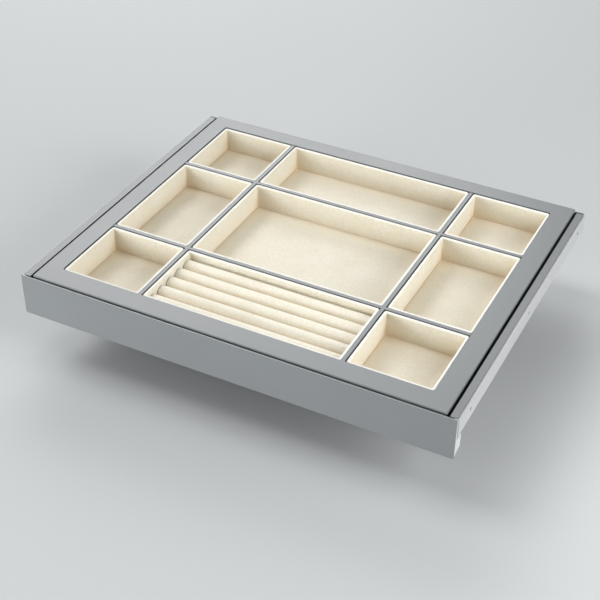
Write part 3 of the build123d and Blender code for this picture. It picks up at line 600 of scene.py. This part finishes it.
def lining_surface(low, high, settings, seed):
    """A tray's lining. Each row of the profile is carried round a rounded rectangle, and on the
    floor the rectangle shrinks to a point. The walls lean in a little between their corners, the
    corners have small upright folds that die away in 8 mm, and the floor is faintly uneven."""
    widest, narrowest, narrowing = 0.0030, 0.0012, 0.55  # corner radii, and their fall inwards
    fold_pitch, fold_reach = 0.0045, 0.008
    centre = (np.array(low) + np.array(high)) / 2
    half_x, half_y = (high[0] - low[0]) / 2, (high[1] - low[1]) / 2
    core, outward = round_loop(half_x, half_y, settings.spacing)
    least = min(half_x, half_y)
    inset, height, kinds = lining_profile(high[2], low[2] + settings.floor, settings.wall, least)
    on_floor = kinds == 2
    start = inset[~on_floor][-1]
    share = np.where(on_floor, (least - inset) / (least - start), 1.0)[:, None]
    drawn = np.where(on_floor, start, inset)[:, None]
    radius = np.maximum(widest - drawn * narrowing, narrowest) * share
    across = (half_x - drawn) * share - radius
    along = (half_y - drawn) * share - radius
    x = centre[0] + across * core[:, 0] + radius * outward[:, 0]
    y = centre[1] + along * core[:, 1] + radius * outward[:, 1]
    z = np.broadcast_to(height[:, None], x.shape)
    points = np.stack([x, y, z], axis=-1)
    # How far each column is from its nearest corner, how far down the wall each row is, and how
    # far round the loop each column is.
    from_corner = (1 - np.abs(core[:, 0])) * half_x + (1 - np.abs(core[:, 1])) * half_y
    down = np.clip((high[2] - height) / (high[2] - low[2] - settings.floor), 0, 1)
    side = np.concatenate([[0.0], np.cumsum(np.hypot(*np.diff(points[0, :, :2], axis=0).T))])
    fold = np.sin(side * 2 * math.pi / fold_pitch + wander(points[0], 0.05, seed + 1))
    fold = fold * np.exp(-((from_corner / fold_reach) ** 2))
    on_wall = (np.sin(math.pi * down) ** 0.8 * (kinds == 1))[:, None]
    # Every wander below is given its size, and then multiplied by its height.
    lean = wander(points, 0.035, seed) * 0.00010 + wander(points, 0.009, seed + 2) * 0.00004
    push = on_wall * (settings.pucker * fold[None, :] * down[:, None] + lean)
    points[..., :2] -= push[..., None] * outward
    uneven = wander(points, 0.045, seed + 3) * 0.00016 + wander(points, 0.012, seed + 4) * 0.00005
    points[..., 2] += uneven * on_floor[:, None] * np.minimum(1, 6 * (1 - share))
    points[..., 2] += wander(points, 0.02, seed + 5) * 0.00004 * (kinds == 0)[:, None]
    points[:, :, 2] = np.minimum(points[:, :, 2], high[2])
    pole = points[-1].mean(axis=0)
    rows, columns = points.shape[:2]
    faces = grid_faces(rows, columns).tolist()
    faces += pole_faces((rows - 1) * columns, columns, rows * columns).tolist()
    return np.concatenate([points.reshape(-1, 3), pole[None]]), faces


def roll_surface(low, high, settings, seed):
    """A ring roll. Its section is a half round on straight sides, carried along X. The ends close
    in a quarter round and a flat face, each ring drawn in towards the section's middle. The
    fabric is faintly uneven."""
    radius = (high[1] - low[1]) / 2
    axis = high[2] - radius
    middle = (low[1] + high[1]) / 2
    turn = np.linspace(0, math.pi, 33)
    side = np.linspace(low[2], axis, 9)[:-1]
    under = np.linspace(1, -1, 9)[1:-1] * radius
    straight = np.full(len(side), radius)
    y = np.concatenate([-straight, -radius * np.cos(turn), straight, under])
    z = np.concatenate([side, axis + radius * np.sin(turn), side[::-1], np.full(len(under), low[2])])
    heart = (low[2] + high[2]) / 2
    arc = np.linspace(0, math.pi / 2, 6)
    edge = settings.edge
    cap_in = np.linspace(0.0, 1 - edge / radius, 6)[1:-1]
    cap = np.concatenate([cap_in, 1 - edge / radius * (1 - np.sin(arc))])
    cap_x = np.concatenate([np.zeros(len(cap_in)), edge * (1 - np.cos(arc))])
    body = np.linspace(low[0] + edge, high[0] - edge, settings.columns)[1:-1]
    x = np.concatenate([low[0] + cap_x, body, (high[0] - cap_x)[::-1]])
    scale = np.concatenate([cap, np.ones(len(body)), cap[::-1]])
    points = np.stack([
        np.broadcast_to(x[:, None], (len(x), len(y))),
        middle + scale[:, None] * y,
        heart + scale[:, None] * (z - heart),
    ], axis=-1)
    lift = np.clip((points[..., 2] - axis) / radius, 0, 1)
    uneven = wander(points, 0.030, seed) * 0.6 + wander(points, 0.008, seed + 1) * 0.25
    settled = 1.2  # wrinkles' heights by which the crest lies lower, so that none stands out
    points[..., 2] += (uneven - settled) * settings.wrinkle * lift
    points[..., 1] += wander(points, 0.02, seed + 2) * settings.wrinkle * 0.3 * (1 - lift)
    ends = np.array([[x[0], middle, heart], [x[-1], middle, heart]])
    rows, columns = points.shape[:2]
    faces = grid_faces(rows, columns)[:, ::-1].tolist()
    faces += pole_faces(0, columns, rows * columns, outward=True).tolist()
    faces += pole_faces((rows - 1) * columns, columns, rows * columns + 1, outward=False).tolist()
    return np.concatenate([points.reshape(-1, 3), ends]), faces


def swell(piece, settings, held, loose):
    """Stuffs a closed piece: a copy ten times larger is blown up a little with Blender's Cloth,
    its held points pinned and its cover cut larger where loose is 1. The piece then takes the
    copy's movement, at its own size and no further than the cap."""
    larger, levels, last_frame = 10, 20, 20
    mesh = piece.data
    start = np.empty(len(mesh.vertices) * 3)
    mesh.vertices.foreach_get("co", start)
    big = mesh.copy()
    big.vertices.foreach_set("co", start * larger)
    copy = bpy.data.objects.new("stuffed_copy", big)
    scene = bpy.context.scene
    scene.collection.objects.link(copy)
    pins = copy.vertex_groups.new(name="held")
    pins.add(np.flatnonzero(held).tolist(), 1.0, "REPLACE")
    ease = copy.vertex_groups.new(name="ease")
    steps = np.round(np.clip(loose, 0, 1) * levels).astype(int)
    for step in range(levels + 1):
        ease.add(np.flatnonzero(steps == step).tolist(), step / levels, "REPLACE")
    cloth = copy.modifiers.new("stuffing", "CLOTH")
    cloth.settings.mass = 0.2
    cloth.settings.tension_stiffness = cloth.settings.compression_stiffness = 20
    cloth.settings.bending_stiffness = 1.5
    cloth.settings.use_pressure = True
    cloth.settings.uniform_pressure_force = settings.pressure
    cloth.settings.vertex_group_mass = pins.name
    cloth.settings.vertex_group_shrink = ease.name
    cloth.settings.shrink_min, cloth.settings.shrink_max = 0.0, -settings.ease
    cloth.settings.effector_weights.gravity = 0
    cloth.collision_settings.use_collision = False
    cloth.point_cache.frame_start, cloth.point_cache.frame_end = 1, last_frame
    for frame_number in range(1, last_frame + 1):
        scene.frame_set(frame_number)
    seen = copy.evaluated_get(bpy.context.evaluated_depsgraph_get()).data
    end = np.empty(len(start))
    seen.vertices.foreach_get("co", end)
    move = (end - start * larger).reshape(-1, 3) / larger
    length = np.linalg.norm(move, axis=1)[:, None]
    move *= np.minimum(1, settings.cap / np.maximum(length, 1e-9))
    mesh.vertices.foreach_set("co", (start.reshape(-1, 3) + move).ravel())
    mesh.update()
    scene.frame_set(1)
    bpy.data.objects.remove(copy)
    bpy.data.meshes.remove(big)


def pad_surface(low, high, seed):
    """The foam pad under the rolls: a rounded rectangle whose edge bulges out and whose faces are
    faintly uneven, closed at the middle of the top and of the bottom."""
    centre = (np.array(low) + np.array(high)) / 2
    half = (np.array(high) - np.array(low)) / 2
    least = min(half[0], half[1])
    core, outward = round_loop(half[0], half[1], spacing=0.006, corner_points=4)
    turn = np.linspace(-math.pi / 2, math.pi / 2, 9)
    edge = half[2] * 0.6
    bulge = edge * (1 - np.cos(turn))
    side_z = centre[2] + (half[2] - edge) * np.sign(np.round(np.sin(turn), 6)) + edge * np.sin(turn)
    share = np.linspace(0, 1, 14)[1:]
    inner = edge + (least - edge) * share[:-1]
    inset = np.concatenate([inner[::-1], bulge, inner])
    z = np.concatenate([np.full(len(inner), low[2]), side_z, np.full(len(inner), high[2])])
    reach = np.minimum(inset, edge)[:, None]
    scale = np.where(inset > edge, (least - inset) / (least - edge), 1.0)[:, None]
    corner_radius, uneven, margin = 0.0015, 0.00012, 0.0001
    radius = corner_radius * scale
    x = centre[0] + ((half[0] - reach) * scale - radius) * core[:, 0] + radius * outward[:, 0]
    y = centre[1] + ((half[1] - reach) * scale - radius) * core[:, 1] + radius * outward[:, 1]
    points = np.stack([x, y, np.broadcast_to(z[:, None], x.shape)], axis=-1)
    points[..., 2] += wander(points, 0.03, seed) * uneven * (scale * (1 - scale) * 4)
    points[..., 2] = np.clip(points[..., 2], low[2] + margin, high[2] - margin)
    poles = np.array([[centre[0], centre[1], low[2]], [centre[0], centre[1], high[2]]])
    rows, columns = points.shape[:2]
    faces = grid_faces(rows, columns).tolist()
    faces += pole_faces(0, columns, rows * columns, outward=False).tolist()
    faces += pole_faces((rows - 1) * columns, columns, rows * columns + 1).tolist()
    return np.concatenate([points.reshape(-1, 3), poles]), faces


# ---- Operators ------------------------------------------------------------------------------

class DRAWER_OT_coat_metal(Operator):
    """Coats the front panel, the deck, the rails and the dividers."""

    bl_idname = "drawer.coat_metal"
    bl_label = "Coat the metal"

    def execute(self, context):
        settings = context.scene.jewel_drawer.coat
        give(["front_panel", "rear_rail"], satin_coat("satin_grey_coat", settings))
        # The deck and dividers get a darker copy of the same coat, a painted shade.
        give(SHEETS, satin_coat("sheet_grey_coat", settings, settings.sheet))
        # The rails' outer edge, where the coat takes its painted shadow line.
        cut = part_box("side_rail_right")[1][0]
        rails = satin_coat("rail_grey_coat", settings, settings.rail, cut)
        give([f"side_rail_{side}" for side in SIDES], rails)
        return {"FINISHED"}


class DRAWER_OT_finish_slides(Operator):
    """Plates the slides, their brackets and cages, and polishes the balls."""

    bl_idname = "drawer.finish_slides"
    bl_label = "Finish the slides"

    def execute(self, context):
        colours = context.scene.jewel_drawer.finish
        zinc = zinc_plate("zinc_plate", colours.zinc, roughness=0.42, metallic=0.35)
        strip = zinc_plate("cage_strip", colours.cage, roughness=0.36, metallic=0.85)
        balls = polished_steel("ball_steel", colours.balls)
        kinds = ("cabinet_member", "drawer_member", "front_bracket", "rear_corner_plate")
        give([f"{kind}_{side}" for kind in kinds for side in SIDES], zinc)
        give([f"ball_cage_{side}" for side in SIDES], strip)
        give([f"slide_balls_{side}" for side in SIDES], balls)
        give(["screws", "lever_rivets"], polished_steel("screw_steel", colours.screws))
        return {"FINISHED"}


class DRAWER_OT_finish_fittings(Operator):
    """Gives the end caps, rail caps, bumpers and levers their plastics."""

    bl_idname = "drawer.finish_fittings"
    bl_label = "Finish the fittings"

    def execute(self, context):
        colours = context.scene.jewel_drawer.finish
        pale = moulded_plastic("pale_plastic", colours.pale, roughness=0.42)
        black = moulded_plastic("black_plastic", colours.black, roughness=0.5)
        give([f"panel_end_cap_{side}" for side in SIDES], pale)
        kinds = ("rail_cap", "slide_bumper", "release_lever")
        give([f"{kind}_{side}" for kind in kinds for side in SIDES], black)
        return {"FINISHED"}


class DRAWER_OT_finish_boards(Operator):
    """Faces the drawer box's boards and leaves the tray boxes as bare fibreboard."""

    bl_idname = "drawer.finish_boards"
    bl_label = "Finish the boards"

    def execute(self, context):
        colours = context.scene.jewel_drawer.finish
        boards = ["base_board", "box_front", "box_rear", "box_side_left", "box_side_right"]
        give(boards, melamine_board(colours.board))
        give([f"tray_shell_{tray}" for tray in TRAYS], bare_fibreboard(colours.fibreboard))
        return {"FINISHED"}


class DRAWER_OT_line_trays(Operator):
    """Folds a microsuede lining into each tray."""

    bl_idname = "drawer.line_trays"
    bl_label = "Line the trays"

    def execute(self, context):
        settings = context.scene.jewel_drawer
        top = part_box(f"tray_lining_{TRAYS[0]}")[1][2]
        cloth = microsuede("cream_microsuede", settings.suede, rim=top)
        for number, tray in enumerate(TRAYS):
            low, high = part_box(f"tray_lining_{tray}")
            seed = LINING_SEED + SEED_STEP * number
            points, faces = lining_surface(low, high, settings.lining, seed)
            piece = add_piece(f"lining_{tray}", points, faces, cloth, f"tray_{tray}")
            mark_painted_shade(piece, tray_shade_paint(points, low, high, settings.lining))
            solid = piece.modifiers.new("cloth", "SOLIDIFY")
            solid.thickness = settings.lining.cloth
            solid.offset = -1.0
            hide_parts(f"tray_lining_{tray}")
            wide, long = high[0] - low[0], high[1] - low[1]
            deep = high[2] - low[2] - settings.lining.floor
            turned = settings.lining.wall + deep
            inner = [side - 2 * settings.lining.wall for side in (wide, long)]
            cut = [side + 2 * turned for side in inner]
            area = inner[0] * inner[1] + 2 * turned * (inner[0] + inner[1])
        return {"FINISHED"}


class DRAWER_OT_pad_ring_tray(Operator):
    """Lays the foam pad and the five padded rolls in the ring tray."""

    bl_idname = "drawer.pad_ring_tray"
    bl_label = "Pad the ring tray"

    def execute(self, context):
        settings = context.scene.jewel_drawer
        # A lighter copy of the linings' suede, a painted light.
        cloth = microsuede("roll_microsuede", settings.suede, lift=settings.suede.lift)
        low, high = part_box("ring_pad")
        points, faces = pad_surface(low, high, PAD_SEED)
        pad = add_piece("ring_pad_foam", points, faces, cloth, "tray_ring")
        # Painted shade: the whole pad takes the nook colour, as it lies in shade under the rolls.
        mark_painted_shade(pad, np.ones(len(points)))
        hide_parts("ring_pad")
        for number, name in enumerate(ROLLS):
            low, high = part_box(name)
            slack = settings.roll.slack
            inner = low + Vector((0, slack, 0)), high - Vector((0, slack, slack))
            seed = ROLL_SEED + SEED_STEP * number
            points, faces = roll_surface(*inner, settings.roll, seed)
            roll = add_piece(f"{name}_padded", points, faces, cloth, "tray_ring")
            # Painted shade: it deepens down the sides of each roll, into the grooves between them.
            steepness, end_face = 1.5, 0.0004
            mark_painted_shade(roll, steepness * (high[2] - points[:, 2]) / (high[1] - low[1]))
            resting = points[:, 2] < (low[2] + high[2]) / 2
            ends = np.minimum(points[:, 0] - low[0], high[0] - points[:, 0]) < end_face
            loose = 0.5 + 0.4 * wander(points, 0.03, LOOSE_SEED + number)
            swell(roll, settings.roll, resting | ends, loose)
            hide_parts(name)
        return {"FINISHED"}


class DRAWER_OT_set_stage(Operator):
    """Lays the floor, hangs the lamps and places the camera."""

    bl_idname = "drawer.set_stage"
    bl_label = "Set the stage"

    def execute(self, context):
        stage = context.scene.jewel_drawer.stage
        lay_floor(stage)
        for name, (place, size) in SOFTBOXES.items():
            softbox(f"{name}_softbox", place, size, getattr(stage, name))
        for name, direction in EVEN_LIGHTS.items():
            even_light(f"{name}_light", direction, getattr(stage, name), stage.spread)
        light_sky(context.scene, stage)
        place_camera(context.scene, stage)
        context.scene.view_settings.view_transform = "Standard"
        return {"FINISHED"}


def lay_floor(stage):
    """A pale floor under the drawer, wide enough to reach past every view. Far from the drawer the
    camera sees it fade into the backdrop."""
    reach = 9.0
    fade_from, fade_to = 1.3, 2.8
    corners = [(-reach, -reach), (reach, -reach), (reach, reach), (-reach, reach)]
    mesh = bpy.data.meshes.new("studio_floor")
    mesh.from_pydata([(x, y, -stage.drop) for x, y in corners], [], [(0, 1, 2, 3)])
    material, shader, place = new_finish("studio_floor")
    cloud = place.noise(0.6, 2.0).contrast(*SOFT)
    colour = tuple(stage.floor)
    connect(shader, Base_Color=cloud.mix(darker(colour, 0.99), colour), Roughness=0.8 + cloud * 0.1)
    away = place.node("ShaderNodeVectorMath", {"operation": "LENGTH"}, {0: place}, "Value")
    seen = place.node("ShaderNodeLightPath", None, None, "Is Camera Ray")
    backdrop = place.node("ShaderNodeEmission", None, {"Color": (*colour, 1.0), "Strength": 1.0})
    lit = Wire(place.tree, shader.outputs["BSDF"])
    faded = {0: away.contrast(fade_from, fade_to) * seen, 1: lit, 2: backdrop}
    surface = place.node("ShaderNodeMixShader", None, faded)
    connect(place.tree.nodes["Material Output"], Surface=surface)
    mesh.materials.append(material)
    floor = bpy.data.objects.new("studio_floor", mesh)
    bpy.context.scene.collection.objects.link(floor)


def softbox(name, place, size, power):
    """A large area lamp that faces the drawer."""
    lamp = bpy.data.lights.new(name, "AREA")
    lamp.shape = "RECTANGLE"
    lamp.size, lamp.size_y = size
    hang_lamp(name, lamp, place, power)


def even_light(name, direction, power, spread):
    """A broad, soft light that comes from one direction at the same strength everywhere."""
    lamp = bpy.data.lights.new(name, "SUN")
    lamp.angle = spread
    hang_lamp(name, lamp, direction, power)


def hang_lamp(name, lamp, place, power):
    """Puts a lamp at a place, aimed at the drawer, where no camera sees the lamp itself."""
    lamp.energy = power
    holder = bpy.data.objects.new(name, lamp)
    bpy.context.scene.collection.objects.link(holder)
    holder.location = place
    holder.rotation_mode = "QUATERNION"
    holder.rotation_quaternion = (-Vector(place)).to_track_quat("-Z", "Y")
    holder.visible_camera = False


def light_sky(scene, stage):
    """Even light from all round, with a plain pale backdrop where the camera or a mirror sees it."""
    world = bpy.data.worlds.new("studio_air")
    world.use_nodes = True
    tree = world.node_tree
    tree.nodes.clear()
    start = Wire(tree)
    rays = start.node("ShaderNodeLightPath").socket.node.outputs
    seen, glossy, through = (
        Wire(tree, rays[f"Is {kind} Ray"]) for kind in ("Camera", "Glossy", "Transmission")
    )
    shown = start.maths("MAXIMUM", start.maths("MAXIMUM", seen, glossy), through)
    air = start.node("ShaderNodeBackground", None, {"Color": (1, 1, 1, 1), "Strength": stage.sky})
    wall = start.node("ShaderNodeBackground", None, {"Color": (*stage.floor, 1), "Strength": 1.0})
    both = start.node("ShaderNodeMixShader", None, {0: shown, 1: air, 2: wall})
    start.node("ShaderNodeOutputWorld", None, {"Surface": both})
    scene.world = world


def place_camera(scene, stage):
    """A long lens high on the right of the drawer's front."""
    camera = bpy.data.cameras.new("camera")
    camera.lens = stage.lens
    camera.sensor_width = 36.0
    camera.clip_start, camera.clip_end = 0.05, 60.0
    holder = bpy.data.objects.new("camera", camera)
    scene.collection.objects.link(holder)
    turn = Vector(stage.aim).to_track_quat("-Z", "Y") @ Quaternion((0, 0, 1), stage.turn)
    holder.matrix_world = Matrix.Translation(stage.camera) @ turn.to_matrix().to_4x4()
    scene.camera = holder


# ---- Panel and registration -----------------------------------------------------------------

class DRAWER_PT_looks(Panel):
    """Lists the steps that give the drawer its looks."""

    bl_idname = "DRAWER_PT_looks"
    bl_label = "Jewellery drawer"
    bl_space_type = "VIEW_3D"
    bl_region_type = "UI"
    bl_category = "Drawer"

    def draw(self, context):
        for step in STEPS:
            self.layout.operator(step.bl_idname)
        settings = context.scene.jewel_drawer
        for part in DrawerSettings.__annotations__:
            group = getattr(settings, part)
            box = self.layout.box()
            for name in type(group).__annotations__:
                box.prop(group, name)


STEPS = (
    DRAWER_OT_coat_metal,
    DRAWER_OT_finish_slides,
    DRAWER_OT_finish_fittings,
    DRAWER_OT_finish_boards,
    DRAWER_OT_line_trays,
    DRAWER_OT_pad_ring_tray,
    DRAWER_OT_set_stage,
)
CLASSES = (
    CoatSettings, SuedeSettings, FinishSettings, LiningSettings, RollSettings, StageSettings,
    DrawerSettings, *STEPS, DRAWER_PT_looks,
)


def register():
    """Registers every class and puts the settings on the scene."""
    for item in CLASSES:
        bpy.utils.register_class(item)
    bpy.types.Scene.jewel_drawer = PointerProperty(type=DrawerSettings)


def unregister():
    """Takes back what register did."""
    del bpy.types.Scene.jewel_drawer
    for item in reversed(CLASSES):
        bpy.utils.unregister_class(item)


def main():
    """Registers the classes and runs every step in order."""
    register()
    for step in STEPS:
        group, name = step.bl_idname.split(".")
        getattr(getattr(bpy.ops, group), name)()


if __name__ == "__main__":
    main()
